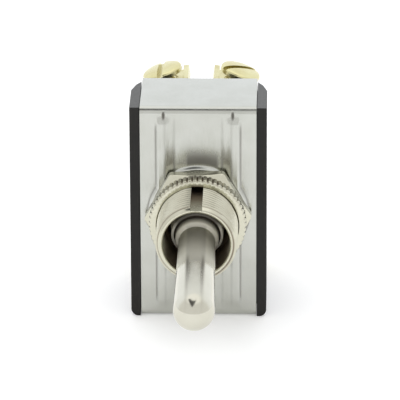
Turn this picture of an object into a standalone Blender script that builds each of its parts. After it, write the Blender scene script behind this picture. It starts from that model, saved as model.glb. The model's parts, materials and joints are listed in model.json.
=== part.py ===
"""Panel-mount double-pole toggle switch with a metal bat lever and screw terminals.

The switch stands on its lower end: +Z is up the long side of the body, the bushing and the
lever point along -Y, and the terminals are at the back, towards +Y. The origin is on the lower
end's flat steel flap, midway between its sides. The lever rests in its lower position.
"""

from math import asin, cos, hypot, pi, radians, sin

import bmesh
import bpy
from mathutils import Matrix, Vector

MM = 0.001

# Driving dimensions, in millimetres.
BODY_WIDTH = 20.0
BODY_HEIGHT = 33.0
FRAME_WIDTH = 17.0
FRAME_DEPTH = 13.2
FRONT_REACH = 6.2
SHEET = 0.9
THREAD_RADIUS = 5.95
BUSHING_LENGTH = 11.9
BORE_RADIUS = 4.85
NUT_FLATS = 13.7
NUT_THICK = 1.9
FACE_NUT_RADIUS = 7.1
FACE_NUT_THICK = 2.1
LEVER_REACH = 15.65
REST_TILT = 12.0
POLE_X = 5.0
GAP = 0.3
SMALL_GAP = 0.2

# Places that follow from them. Y runs from the front plate to the back.
FRONT_Y = -FRONT_REACH
BACK_Y = FRONT_Y + FRAME_DEPTH
AXIS_Z = BODY_HEIGHT / 2
PLATE_BACK_Y = FRONT_Y + SHEET
BUSHING_FACE_Y = FRONT_Y - BUSHING_LENGTH
PIVOT_DEPTH = 9.0
PIVOT_Y = BUSHING_FACE_Y + PIVOT_DEPTH
PIVOT = (0.0, PIVOT_Y, AXIS_Z)

# The frame's pressed shape: two ribs and a round seat under the nut.
EMBOSS = 0.35
RIB_INNER_X = 3.4
RIB_CREST_X = 4.9
RIB_SHOULDER_X = 5.85
RIB_OUTER_X = 6.15
RIB_MARGIN = 1.2
RIB_END = 1.2
SEAT_RADIUS = 7.0
SEAT_FOOT_RADIUS = 7.45
BEND_RADIUS = 1.1
BEND_STEPS = 3
PLATE_ROWS = 28
LIP = 1.5
FRAME_HOLE_RADIUS = THREAD_RADIUS + SMALL_GAP

# The bushing and the nuts on it.
FLANGE_RADIUS = 7.0
FLANGE_THICK = 1.0
SOCKET_RADIUS = 4.4
BORE_DEPTH = 7.0
RIM = 0.2
THREAD_CHAMFER = 0.65
KEYWAY_HALF = 0.87
KEYWAY_FLOOR = 5.2
PIN_RADIUS = 0.8
PIN_HALF = 5.3
HEX_CHAMFER = 0.35
FACE_NUT_CHAMFER = 0.3
HEX_BACK_Y = FRONT_Y - EMBOSS - SMALL_GAP
HEX_FRONT_Y = HEX_BACK_Y - NUT_THICK
FACE_NUT_BACK_Y = HEX_FRONT_Y - SMALL_GAP
FACE_NUT_FRONT_Y = FACE_NUT_BACK_Y - FACE_NUT_THICK

# The base: side strips beside the frame, a middle behind its plate, two open chambers.
STRIP_INNER_X = FRAME_WIDTH / 2 + GAP
STRIP_FOOT_ROUND = 1.1
CHAMFER_START_Y = 1.0
SHOULDER_X = 9.35
SHOULDER_Y = 3.3
STRIP_BACK_Y = 4.6
MIDDLE_BACK_Y = 4.3
REAR_FRONT_Y = 0.0
LINER_THICK = 0.5
LINER_FRONT_Y = PLATE_BACK_Y + SMALL_GAP
BASE_FRONT_Y = LINER_FRONT_Y + LINER_THICK + GAP
BASE_BACK_Y = 8.7
FLOOR_Y = 6.0
CHAMBER_OUTER_X = 7.9
CHAMBER_HALF_Z = 13.9
BARRIER_HALF_X = 0.6
BARRIER_FRONT_Y = 1.6

# The rocking contacts. They turn about the fulcrum on the middle terminals.
FULCRUM_Y = 3.85
RIDGE_TIP_Y = 4.0
ROCKER_APEX_Y = 2.8
ROCKER_SHEET = 0.9
ROCKER_HALF = 8.0
ROCKER_WIDTH = 4.4
ROCKER_REST = 0.8 * REST_TILT
WING_ANGLE = ROCKER_REST + 6.0
BUTTON_REACH = 7.0
BUTTON_RADIUS = 1.3
BUTTON_THICK = 0.6
BUTTON_GAP = 0.1
FIXED_BUTTON_Y = 4.05
FIXED_BUTTON_THICK = 0.7
FIXED_BUTTON_HEIGHT = 7.3

# The terminals and their screws. Heights are measured from the middle of the body.
TERMINAL_SHEET = 0.9
TERMINAL_Y = 5.35
TAB_WIDTH = 6.6
STEM_WIDTH = 4.0
PAD_HEIGHT = 5.3
OUTER_HEIGHT = 13.1
TAB_END_Y = 16.8
TAB_TWIST = 10.0
EAR_THICK = 0.8
EAR_HEIGHT = 1.1
EAR_FRONT_Y = 11.0
SCREW_Y = 13.5
SCREW_OUT = 0.3
SCREW_TILT = 18.0
SCREW_LIFT = 0.9
MIDDLE_STEM_HEIGHT = -2.9
MIDDLE_TAB_Y = 13.0
MIDDLE_TOP = 3.4
SCREW_HEAD_RADIUS = 3.0
SCREW_HEAD = 1.25
SCREW_RADIUS = 1.7
SCREW_HOLE_RADIUS = 1.95
SCREW_LENGTH = 3.6
SCREW_END_CHAMFER = 0.4
SLOT_HALF = 0.42
SLOT_DEPTH = 0.7

# The lever, by distance in front of the pivot along the bat.
LEVER_LENGTH = (PIVOT_DEPTH + LEVER_REACH) / cos(radians(REST_TILT))
BALL_RADIUS = 4.05
NECK_RADIUS = 3.8
NECK_END = 3.7
COLLAR_RADIUS = 3.15
COLLAR_END = 4.9
BAT_START = 5.4
BAT_BASE_RADIUS = 2.65
BAT_TIP_RADIUS = 3.0

# The lever's arm, the yoke and the plungers: distances behind the pivot, along the arm.
ARM_RADIUS = 1.6
ARM_CHAMFER = 0.3
ARM_END = 8.6
YOKE_FRONT = 6.0
YOKE_BACK = 9.4
YOKE_HALF_X = 6.9
YOKE_HALF_Z = 2.2
YOKE_BEVEL = 0.4
SOCKET_FLOOR = 6.8
PLUNGER_SOCKET_RADIUS = 1.35
PLUNGER_RADIUS = 1.1
PLUNGER_SHOULDER = 9.0
PLUNGER_DOME = 10.5
STEM_RADIUS = 0.45
STEM_START = 7.4
SPRING_RADIUS = 0.85
SPRING_WIRE = 0.14
SPRING_START = 7.0
SPRING_END = 8.4
SPRING_TURNS = 3.5

SEGMENTS = 32


def clear_scene():
    for item in list(bpy.data.objects):
        bpy.data.objects.remove(item, do_unlink=True)


def material(name, colour, metallic, roughness):
    made = bpy.data.materials.new(name)
    made.use_nodes = True
    shader = made.node_tree.nodes["Principled BSDF"]
    shader.inputs["Base Color"].default_value = (*colour, 1.0)
    shader.inputs["Metallic"].default_value = metallic
    shader.inputs["Roughness"].default_value = roughness
    return made


def make_materials():
    return {
        "phenolic": material("phenolic", (0.03, 0.028, 0.026), 0.0, 0.5),
        "zinc": material("zinc", (0.62, 0.63, 0.64), 1.0, 0.3),
        "nickel": material("nickel", (0.66, 0.62, 0.55), 1.0, 0.2),
        "brass": material("brass", (0.8, 0.66, 0.32), 1.0, 0.3),
        "silver": material("silver", (0.8, 0.8, 0.78), 1.0, 0.25),
        "spring_steel": material("spring_steel", (0.4, 0.4, 0.4), 1.0, 0.35),
        "fibre": material("fibre", (0.3, 0.16, 0.08), 0.0, 0.8),
        "nylon": material("nylon", (0.75, 0.73, 0.66), 0.0, 0.45),
    }


def mesh_from(bm, name):
    """Turn a bmesh in millimetres into a closed mesh in metres."""
    bmesh.ops.recalc_face_normals(bm, faces=bm.faces)
    bmesh.ops.scale(bm, vec=(MM, MM, MM), verts=bm.verts)
    mesh = bpy.data.meshes.new(name)
    bm.to_mesh(mesh)
    bm.free()
    return mesh


def temporary(mesh):
    item = bpy.data.objects.new("temporary", mesh)
    bpy.context.scene.collection.objects.link(item)
    return item


def combined(mesh, other, operation):
    """Return a new mesh: mesh cut by other, or joined to it."""
    target = temporary(mesh)
    tool = temporary(other)
    change = target.modifiers.new("change", "BOOLEAN")
    change.operation = operation
    change.solver = "EXACT"
    change.object = tool
    graph = bpy.context.evaluated_depsgraph_get()
    result = bpy.data.meshes.new_from_object(target.evaluated_get(graph))
    bpy.data.objects.remove(target, do_unlink=True)
    bpy.data.objects.remove(tool, do_unlink=True)
    return result


def cut(mesh, *tools):
    for tool in tools:
        mesh = combined(mesh, tool, "DIFFERENCE")
    return mesh


def join(mesh, *others):
    for other in others:
        mesh = combined(mesh, other, "UNION")
    return mesh


def place(name, mesh, finish, origin=(0.0, 0.0, 0.0), parent=None, smooth=35.0):
    """Make the named object. Its mesh is drawn about its origin, both in world directions."""
    mesh.name = name
    mesh.materials.clear()
    mesh.materials.append(finish)
    mesh.shade_smooth()
    mesh.set_sharp_from_angle(angle=radians(smooth))
    item = bpy.data.objects.new(name, mesh)
    bpy.context.scene.collection.objects.link(item)
    item.location = Vector(origin) * MM
    if parent is not None:
        item.parent = parent
    return item


def box(low, high, bevel=0.0, edges="all"):
    """A box from corner to corner, its edges rounded, or only those along one axis."""
    bm = bmesh.new()
    bmesh.ops.create_cube(bm, size=1.0)
    low = Vector(low)
    high = Vector(high)
    size = high - low
    bmesh.ops.scale(bm, vec=size, verts=bm.verts)
    bmesh.ops.translate(bm, vec=(low + high) / 2, verts=bm.verts)
    if bevel > 0.0:
        chosen = list(bm.edges)
        if edges != "all":
            along = "XYZ".index(edges)
            chosen = [e for e in bm.edges if abs((e.verts[0].co - e.verts[1].co)[along]) > 1e-6]
        bmesh.ops.bevel(
            bm, geom=chosen, offset=bevel, segments=2, profile=0.5, affect="EDGES"
        )
    return mesh_from(bm, "box")


def turned(profile, centre=(0.0, 0.0), segments=SEGMENTS, closed=False, phase=0.0):
    """Turn (radius, y) points about an axis along Y through centre, given as (x, z).

    An open profile starts and ends on the axis. A closed one is a ring's cross-section.
    """
    bm = bmesh.new()
    rings = []
    for radius, y in profile:
        if radius < 1e-6:
            rings.append([bm.verts.new((centre[0], y, centre[1]))])
            continue
        ring = []
        for step in range(segments):
            angle = 2 * pi * step / segments + phase
            x = centre[0] + radius * cos(angle)
            z = centre[1] + radius * sin(angle)
            ring.append(bm.verts.new((x, y, z)))
        rings.append(ring)
    pairs = list(zip(rings, rings[1:]))
    if closed:
        pairs.append((rings[-1], rings[0]))
    for first, second in pairs:
        for step in range(segments):
            after = (step + 1) % segments
            if len(first) == 1 and len(second) > 1:
                bm.faces.new((first[0], second[step], second[after]))
            elif len(second) == 1 and len(first) > 1:
                bm.faces.new((second[0], first[after], first[step]))
            else:
                bm.faces.new((first[step], first[after], second[after], second[step]))
    return mesh_from(bm, "turned")


def rod(radius, start_y, end_y, centre=(0.0, 0.0), segments=SEGMENTS):
    return turned([(0, start_y), (radius, start_y), (radius, end_y), (0, end_y)], centre, segments)


def swept(sections):
    """Join rectangular sections, each a list of four corners, into one bar."""
    bm = bmesh.new()
    rings = [[bm.verts.new(corner) for corner in section] for section in sections]
    for first, second in zip(rings, rings[1:]):
        for step in range(4):
            after = (step + 1) % 4
            bm.faces.new((first[step], first[after], second[after], second[step]))
    bm.faces.new(rings[0])
    bm.faces.new(rings[-1])
    return mesh_from(bm, "swept")


def prism(outline, low, high, along="X"):
    """A solid with an outline, in the plane across an axis, from low to high along it."""
    place_along = "XYZ".index(along)
    bm = bmesh.new()
    ends = []
    for level in (low, high):
        end = []
        for point in outline:
            corner = list(point)
            corner.insert(place_along, level)
            end.append(bm.verts.new(corner))
        ends.append(end)
    front, back = ends
    count = len(outline)
    for step in range(count):
        after = (step + 1) % count
        bm.faces.new((front[step], front[after], back[after], back[step]))
    bm.faces.new(front)
    bm.faces.new(back)
    return mesh_from(bm, "prism")


def moved(mesh, matrix):
    mesh.transform(matrix)
    return mesh


def turn_about_x(angle):
    return Matrix.Rotation(radians(angle), 4, "X")


def lever_frame():
    """An empty on the lever's axis, turned to the rest position."""
    axis = bpy.data.objects.new("lever_axis", None)
    bpy.context.scene.collection.objects.link(axis)
    axis.location = Vector(PIVOT) * MM
    axis.rotation_euler.x = radians(REST_TILT)
    return axis


def rocker_frame(side, x):
    """An empty on a rocker's fulcrum, turned so that its upper end is pressed back."""
    axis = bpy.data.objects.new(f"rocker_axis_{side}", None)
    bpy.context.scene.collection.objects.link(axis)
    axis.location = Vector((x, FULCRUM_Y, AXIS_Z)) * MM
    axis.rotation_euler.x = -radians(ROCKER_REST)
    return axis


def emboss_height(x, z):
    """How far the front plate is pressed forward at a point."""
    return EMBOSS * max(rib_profile(abs(x), z), seat_profile(x, z))


def ease(value):
    value = min(max(value, 0.0), 1.0)
    return value * value * (3.0 - 2.0 * value)


def rib_profile(x, z):
    """A rib's section: a steep outer flank and a long inner one, with eased ends."""
    outer = ease((RIB_OUTER_X - x) / (RIB_OUTER_X - RIB_SHOULDER_X))
    inner = ease((x - RIB_INNER_X) / (RIB_CREST_X - RIB_INNER_X))
    from_end = min(z, BODY_HEIGHT - z) - RIB_MARGIN
    return outer * inner * ease(from_end / RIB_END)


def seat_profile(x, z):
    reach = hypot(x, z - AXIS_Z)
    return ease((SEAT_FOOT_RADIUS - reach) / (SEAT_FOOT_RADIUS - SEAT_RADIUS))


def frame_path():
    """Points along the folded sheet: the outer (y, z), and the inward normal."""
    corners = [
        (BACK_Y, LIP),
        (BACK_Y, 0.0),
        (FRONT_Y, 0.0),
        (FRONT_Y, BODY_HEIGHT),
        (BACK_Y, BODY_HEIGHT),
        (BACK_Y, BODY_HEIGHT - LIP),
    ]
    path = [(corners[0], (-1.0, 0.0))]
    for before, corner, after in zip(corners, corners[1:], corners[2:]):
        into = Vector(corner) - Vector(before)
        away = Vector(after) - Vector(corner)
        into.normalize()
        away.normalize()
        start = Vector(corner) - into * BEND_RADIUS
        centre = start + away * BEND_RADIUS
        for step in range(BEND_STEPS + 1):
            angle = pi / 2 * step / BEND_STEPS
            outward = -away * cos(angle) + into * sin(angle)
            point = centre + outward * BEND_RADIUS
            path.append((tuple(point), tuple(-outward)))
        if corner == corners[2]:
            path.extend(plate_rows())
    path.append((corners[-1], (-1.0, 0.0)))
    return path


def plate_rows():
    """Rows across the flat front plate, between its bends."""
    span = BODY_HEIGHT - 2 * BEND_RADIUS
    heights = [BEND_RADIUS + span * row / PLATE_ROWS for row in range(1, PLATE_ROWS)]
    return [((FRONT_Y, height), (1.0, 0.0)) for height in heights]


def frame_columns():
    edge = FRAME_WIDTH / 2
    half = [edge, 7.7, 6.9, RIB_OUTER_X, RIB_SHOULDER_X, 5.4, RIB_CREST_X, 4.3, RIB_INNER_X, 1.9]
    return [-x for x in half] + [0.0] + half[::-1]


def make_frame():
    """The steel frame: one folded sheet, pressed with ribs, holding the base by its lips."""
    path = frame_path()
    columns = frame_columns()
    bm = bmesh.new()
    outer = []
    inner = []
    for (y, z), (normal_y, normal_z) in path:
        outer_row = []
        inner_row = []
        for x in columns:
            on_plate = normal_y > 0.99
            lift = emboss_height(x, z) if on_plate else 0.0
            outer_row.append(bm.verts.new((x, y - lift, z)))
            back = (x, y - lift + normal_y * SHEET, z + normal_z * SHEET)
            inner_row.append(bm.verts.new(back))
        outer.append(outer_row)
        inner.append(inner_row)
    for grid in (outer, inner):
        for row, after in zip(grid, grid[1:]):
            for column in range(len(columns) - 1):
                bm.faces.new((row[column], row[column + 1], after[column + 1], after[column]))
    for edge in (0, -1):
        for row in range(len(path) - 1):
            bm.faces.new((outer[row][edge], outer[row + 1][edge], inner[row + 1][edge], inner[row][edge]))
        for column in range(len(columns) - 1):
            after = column + 1
            rim = (outer[edge][column], outer[edge][after], inner[edge][after], inner[edge][column])
            bm.faces.new(rim)
    sheet = mesh_from(bm, "sheet")
    hole = rod(FRAME_HOLE_RADIUS, FRONT_Y - 2, PLATE_BACK_Y + 1, (0.0, AXIS_Z), 48)
    return cut(sheet, hole)


def make_strip(side):
    """A side strip: chamfered in two steps at the back, and rounded at its outer lower corner."""
    outer = BODY_WIDTH / 2
    plan = [
        (STRIP_INNER_X, FRONT_Y),
        (outer, FRONT_Y),
        (outer, CHAMFER_START_Y),
        (SHOULDER_X, SHOULDER_Y),
        (STRIP_INNER_X, STRIP_BACK_Y),
    ]
    front = [(STRIP_INNER_X, 0.0), (STRIP_INNER_X, BODY_HEIGHT), (outer, BODY_HEIGHT)]
    steps = 4
    for step in range(steps + 1):
        angle = pi / 2 * step / steps
        across = outer - STRIP_FOOT_ROUND * (1.0 - cos(angle))
        front.append((across, STRIP_FOOT_ROUND * (1.0 - sin(angle))))
    upright = prism([(side * x, y) for x, y in plan], 0.0, BODY_HEIGHT, "Z")
    through = prism([(side * x, z) for x, z in front], FRONT_Y - 1, STRIP_BACK_Y + 1, "Y")
    return combined(upright, through, "INTERSECT")


def make_base():
    """The moulded base: two chambers, open to the front, with a slotted floor."""
    middle_half = STRIP_INNER_X + SMALL_GAP
    solid = box(
        (-middle_half, BASE_FRONT_Y, SHEET + GAP),
        (middle_half, MIDDLE_BACK_Y, BODY_HEIGHT - SHEET - GAP),
    )
    rear = box(
        (-FRAME_WIDTH / 2, REAR_FRONT_Y, LIP + GAP),
        (FRAME_WIDTH / 2, BASE_BACK_Y, BODY_HEIGHT - LIP - GAP),
    )
    solid = join(solid, make_strip(-1), make_strip(1), rear)
    low_z = AXIS_Z - CHAMBER_HALF_Z
    high_z = AXIS_Z + CHAMBER_HALF_Z
    inside = BARRIER_HALF_X + 1
    tools = [box((-inside, BASE_FRONT_Y - 2, low_z), (inside, BARRIER_FRONT_Y, high_z))]
    for side in (-1, 1):
        near, far = sorted((side * BARRIER_HALF_X, side * CHAMBER_OUTER_X))
        tools.append(box((near, BASE_FRONT_Y - 2, low_z), (far, FLOOR_Y, high_z)))
        for height in (-OUTER_HEIGHT, MIDDLE_STEM_HEIGHT, OUTER_HEIGHT):
            tools.append(stem_slot(side * POLE_X, AXIS_Z + height))
    return cut(solid, *tools)


def stem_slot(x, z):
    """A cutter for the slot that a terminal's stem passes through in the floor."""
    half_slot = TERMINAL_SHEET / 2 + SMALL_GAP
    half_width = STEM_WIDTH / 2 + SMALL_GAP
    low = (x - half_width, FLOOR_Y - 1, z - half_slot)
    return box(low, (x + half_width, BASE_BACK_Y + 1, z + half_slot))


def make_liner():
    """The insulating sheet between the frame's plate and the base."""
    sheet = box(
        (-FRAME_WIDTH / 2 + SMALL_GAP, LINER_FRONT_Y, SHEET + GAP),
        (FRAME_WIDTH / 2 - SMALL_GAP, LINER_FRONT_Y + LINER_THICK, BODY_HEIGHT - SHEET - GAP),
    )
    hole = rod(FLANGE_RADIUS + GAP, LINER_FRONT_Y - 1, LINER_FRONT_Y + 2, (0.0, AXIS_Z))
    return cut(sheet, hole)


def make_bushing():
    """The threaded bushing: a flanged tube with a keyway along its top."""
    flange_front = PLATE_BACK_Y + SMALL_GAP
    flange_back = flange_front + FLANGE_THICK
    profile = [
        (FLANGE_RADIUS, flange_front),
        (FLANGE_RADIUS, flange_back),
        (SOCKET_RADIUS, flange_back),
        (SOCKET_RADIUS, BUSHING_FACE_Y + BORE_DEPTH + BORE_RADIUS - SOCKET_RADIUS),
        (BORE_RADIUS, BUSHING_FACE_Y + BORE_DEPTH),
        (BORE_RADIUS, BUSHING_FACE_Y + RIM),
        (BORE_RADIUS + RIM, BUSHING_FACE_Y),
        (THREAD_RADIUS - THREAD_CHAMFER, BUSHING_FACE_Y),
        (THREAD_RADIUS, BUSHING_FACE_Y + THREAD_CHAMFER),
        (THREAD_RADIUS, flange_front),
    ]
    tube = turned(profile, (0.0, AXIS_Z), 48, closed=True)
    keyway = box(
        (-KEYWAY_HALF, BUSHING_FACE_Y - 1, AXIS_Z + KEYWAY_FLOOR),
        (KEYWAY_HALF, HEX_BACK_Y, AXIS_Z + THREAD_RADIUS + 1),
    )
    return cut(tube, keyway, pin_hole(PIVOT_Y, AXIS_Z))


def pin_hole(y, z):
    """A cutter for the lever pin's hole, along X."""
    along_x = Matrix.Rotation(-pi / 2, 4, "Z")
    hole = rod(PIN_RADIUS + SMALL_GAP, -8.0, 8.0, segments=16)
    centre = Matrix.Translation(Vector((0.0, y, z)) * MM)
    return moved(hole, centre @ along_x)


def make_hex_nut():
    """The hexagon nut: corners to the sides, edges broken by a turned chamfer."""
    corner = NUT_FLATS / 2 / cos(pi / 6)
    blank = turned(
        [(0, HEX_BACK_Y), (corner, HEX_BACK_Y), (corner, HEX_FRONT_Y), (0, HEX_FRONT_Y)],
        (0.0, AXIS_Z),
        6,
    )
    rounding = turned(
        [
            (0, HEX_BACK_Y + 0.01),
            (corner + 0.1, HEX_BACK_Y + 0.01),
            (corner + 0.1, HEX_FRONT_Y + HEX_CHAMFER),
            (NUT_FLATS / 2 + 0.05, HEX_FRONT_Y),
            (0, HEX_FRONT_Y - 0.01),
        ],
        (0.0, AXIS_Z),
        48,
    )
    shaped = combined(blank, rounding, "INTERSECT")
    thread = rod(THREAD_RADIUS + SMALL_GAP, HEX_FRONT_Y - 1, HEX_BACK_Y + 1, (0.0, AXIS_Z), 48)
    return cut(shaped, thread)


def make_face_nut():
    """The knurled face nut, drawn to the crests of its knurl."""
    inner = THREAD_RADIUS + SMALL_GAP
    profile = [
        (inner, FACE_NUT_BACK_Y),
        (FACE_NUT_RADIUS, FACE_NUT_BACK_Y),
        (FACE_NUT_RADIUS, FACE_NUT_FRONT_Y + FACE_NUT_CHAMFER),
        (FACE_NUT_RADIUS - FACE_NUT_CHAMFER, FACE_NUT_FRONT_Y),
        (inner, FACE_NUT_FRONT_Y),
    ]
    return turned(profile[::-1], (0.0, AXIS_Z), 56, closed=True)


def make_lever():
    """The bat lever: arm, ball, neck, stepped collar and a bat that widens to a domed tip."""
    profile = [
        (0.0, ARM_END),
        (ARM_RADIUS - ARM_CHAMFER, ARM_END),
        (ARM_RADIUS, ARM_END - ARM_CHAMFER),
    ]
    first = asin(ARM_RADIUS / BALL_RADIUS)
    last = pi - asin(NECK_RADIUS / BALL_RADIUS)
    steps = 8
    for step in range(steps + 1):
        angle = first + (last - first) * step / steps
        profile.append((BALL_RADIUS * sin(angle), BALL_RADIUS * cos(angle)))
    profile += [
        (NECK_RADIUS, -NECK_END),
        (COLLAR_RADIUS, -NECK_END),
        (COLLAR_RADIUS, -COLLAR_END),
        (BAT_BASE_RADIUS, -BAT_START),
    ]
    dome_start = LEVER_LENGTH - BAT_TIP_RADIUS
    for step in range(steps):
        angle = pi / 2 * step / steps
        profile.append((BAT_TIP_RADIUS * cos(angle), -dome_start - BAT_TIP_RADIUS * sin(angle)))
    profile.append((0.0, -LEVER_LENGTH))
    return cut(turned(profile), pin_hole(0.0, 0.0))


def make_pin():
    along_x = Matrix.Rotation(-pi / 2, 4, "Z")
    return moved(rod(PIN_RADIUS, -PIN_HALF, PIN_HALF, segments=16), along_x)


def make_yoke():
    """The insulating carrier on the lever's arm, with a socket for each plunger."""
    block = box(
        (-YOKE_HALF_X, YOKE_FRONT, -YOKE_HALF_Z),
        (YOKE_HALF_X, YOKE_BACK, YOKE_HALF_Z),
        YOKE_BEVEL,
    )
    tools = [rod(ARM_RADIUS + SMALL_GAP, YOKE_FRONT - 1, ARM_END + SMALL_GAP, segments=16)]
    for side in (-1, 1):
        centre = (side * POLE_X, 0.0)
        tools.append(rod(PLUNGER_SOCKET_RADIUS, SOCKET_FLOOR, YOKE_BACK + 1, centre, 16))
    return cut(block, *tools)


def make_plunger():
    """A plunger: a stem inside its spring, and a head with a domed end."""
    profile = [
        (0.0, STEM_START),
        (STEM_RADIUS, STEM_START),
        (STEM_RADIUS, PLUNGER_SHOULDER),
        (PLUNGER_RADIUS, PLUNGER_SHOULDER),
    ]
    steps = 4
    for step in range(steps):
        angle = pi / 2 * step / steps
        profile.append((PLUNGER_RADIUS * cos(angle), PLUNGER_DOME + PLUNGER_RADIUS * sin(angle)))
    profile.append((0.0, PLUNGER_DOME + PLUNGER_RADIUS))
    return turned(profile, segments=16)


def make_spring():
    """A coil of round wire about the Y axis."""
    steps = int(SPRING_TURNS * 12)
    sides = 6
    bm = bmesh.new()
    rings = []
    for step in range(steps + 1):
        part = step / steps
        angle = 2 * pi * SPRING_TURNS * part
        outward = Vector((cos(angle), 0.0, sin(angle)))
        along = Vector((0.0, 1.0, 0.0))
        centre = outward * SPRING_RADIUS + along * (SPRING_START + (SPRING_END - SPRING_START) * part)
        ring = []
        for side in range(sides):
            turn = 2 * pi * side / sides
            offset = outward * cos(turn) * SPRING_WIRE + along * sin(turn) * SPRING_WIRE
            ring.append(bm.verts.new(centre + offset))
        rings.append(ring)
    for first, second in zip(rings, rings[1:]):
        for side in range(sides):
            after = (side + 1) % sides
            bm.faces.new((first[side], first[after], second[after], second[side]))
    bm.faces.new(rings[0])
    bm.faces.new(rings[-1])
    return mesh_from(bm, "spring")


def wing_point(reach, back, side):
    """A (y, z) on a rocker's wing, from its fulcrum: reach along it, back behind its face."""
    wing = radians(WING_ANGLE)
    y = ROCKER_APEX_Y - FULCRUM_Y - reach * sin(wing) + back * cos(wing)
    z = reach * cos(wing) + back * sin(wing)
    return y, side * z


def make_rocker():
    """A rocking contact: a strip bent to a shallow V that opens to the front."""
    back_apex = ROCKER_APEX_Y - FULCRUM_Y + ROCKER_SHEET / cos(radians(WING_ANGLE))
    outline = [
        wing_point(ROCKER_HALF, 0.0, -1),
        (ROCKER_APEX_Y - FULCRUM_Y, 0.0),
        wing_point(ROCKER_HALF, 0.0, 1),
        wing_point(ROCKER_HALF, ROCKER_SHEET, 1),
        (back_apex, 0.0),
        wing_point(ROCKER_HALF, ROCKER_SHEET, -1),
    ]
    return prism(outline, -ROCKER_WIDTH / 2, ROCKER_WIDTH / 2)


def make_moving_button(side):
    """The contact button on the back of a rocker's upper (1) or lower (-1) wing."""
    button = rod(BUTTON_RADIUS, 0.0, BUTTON_THICK, segments=20)
    y, z = wing_point(BUTTON_REACH, ROCKER_SHEET + BUTTON_GAP, side)
    spot = Matrix.Translation(Vector((0.0, y, z)) * MM)
    return moved(button, spot @ turn_about_x(side * WING_ANGLE))


def strip_section(x, y, z, width, thick_y, thick_z, twist=0.0):
    """A strip's four corners: its width along X, its half thickness as a (y, z) vector."""
    corners = []
    for across, through in ((-1, -1), (1, -1), (1, 1), (-1, 1)):
        offset = Vector((across * width / 2, through * thick_y, through * thick_z))
        offset.rotate(Matrix.Rotation(radians(twist), 3, "Y"))
        corners.append((x + offset.x, y + offset.y, z + offset.z))
    return corners


def screw_turn(side, level, tilt=SCREW_TILT):
    """The turn that takes a screw along Y to its place: head up, down or back."""
    if level == 0:
        return Matrix.Rotation(pi, 4, "X")
    lean = Matrix.Rotation(radians(side * level * tilt), 4, "Y")
    return lean @ Matrix.Rotation(level * -pi / 2, 4, "X")


def outer_terminal(side, level):
    """An upper (level 1) or lower (-1) terminal: pad, stem through the floor, leaning tab.

    The tab's inner edge has an ear, turned up beside the screw's head.
    """
    x = side * POLE_X
    half = TERMINAL_SHEET / 2
    height = AXIS_Z + level * OUTER_HEIGHT
    twist = side * level * TAB_TWIST
    bar = swept(
        [
            strip_section(x, TERMINAL_Y, AXIS_Z + level * PAD_HEIGHT, STEM_WIDTH, -half, 0.0),
            strip_section(x, TERMINAL_Y, height, STEM_WIDTH, -half, level * half),
            strip_section(x, BASE_BACK_Y + 0.2, height, STEM_WIDTH, 0.0, level * half),
            strip_section(x, BASE_BACK_Y + 0.9, height, TAB_WIDTH, 0.0, level * half, twist),
            strip_section(x, TAB_END_Y, height, TAB_WIDTH, 0.0, level * half, twist),
        ]
    )
    lean = Matrix.Rotation(radians(twist), 4, "Y")
    centre = Matrix.Translation(Vector((x, SCREW_Y, height)) * MM)
    edge = -side * TAB_WIDTH / 2
    inner = edge + side * EAR_THICK
    ear = box(
        (min(edge, inner), EAR_FRONT_Y - SCREW_Y, min(0.0, level * EAR_HEIGHT)),
        (max(edge, inner), TAB_END_Y - SCREW_Y, max(0.0, level * EAR_HEIGHT)),
    )
    hole = moved(rod(SCREW_HOLE_RADIUS, -3.0, 3.0, segments=20), screw_turn(side, level))
    outward = Matrix.Translation(Vector((side * SCREW_OUT, 0.0, 0.0)) * MM)
    return cut(join(bar, moved(ear, centre @ lean)), moved(hole, centre @ outward))


def middle_terminal(side):
    """A common terminal: pad with the fulcrum ridge, stem, and a tab turned up at the back."""
    x = side * POLE_X
    half = TERMINAL_SHEET / 2
    low = AXIS_Z + MIDDLE_STEM_HEIGHT
    high = AXIS_Z + MIDDLE_TOP
    bar = swept(
        [
            strip_section(x, TERMINAL_Y, high, STEM_WIDTH, -half, 0.0),
            strip_section(x, TERMINAL_Y, low, STEM_WIDTH, -half, -half),
            strip_section(x, BASE_BACK_Y + 0.3, low, STEM_WIDTH, 0.0, -half),
            strip_section(x, BASE_BACK_Y + 1.4, low, TAB_WIDTH, 0.0, -half),
            strip_section(x, MIDDLE_TAB_Y, low, TAB_WIDTH, half, -half),
            strip_section(x, MIDDLE_TAB_Y, high, TAB_WIDTH, half, 0.0),
        ]
    )
    pad_front = TERMINAL_Y - half
    ridge = prism(
        [
            (pad_front + 0.2, AXIS_Z - 0.8),
            (RIDGE_TIP_Y, AXIS_Z - 0.15),
            (RIDGE_TIP_Y, AXIS_Z + 0.15),
            (pad_front + 0.2, AXIS_Z + 0.8),
        ],
        x - STEM_WIDTH / 2,
        x + STEM_WIDTH / 2,
    )
    hole = rod(SCREW_HOLE_RADIUS, MIDDLE_TAB_Y - 2, MIDDLE_TAB_Y + 2, (x, AXIS_Z), 20)
    return cut(join(bar, ridge), hole)


def make_screw(lift):
    """A slotted binding-head screw along Y, its head at -Y, lifted off the tab's face."""
    under = -TERMINAL_SHEET / 2 - lift
    top = under - SCREW_HEAD
    profile = [
        (0.0, top),
        (SCREW_HEAD_RADIUS * 0.6, top + 0.08),
        (SCREW_HEAD_RADIUS - 0.3, top + 0.3),
        (SCREW_HEAD_RADIUS, top + 0.65),
        (SCREW_HEAD_RADIUS, under),
        (SCREW_RADIUS, under),
        (SCREW_RADIUS, under + SCREW_LENGTH - SCREW_END_CHAMFER),
        (SCREW_RADIUS - SCREW_END_CHAMFER, under + SCREW_LENGTH),
        (0.0, under + SCREW_LENGTH),
    ]
    return turned(profile, segments=24), top


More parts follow.
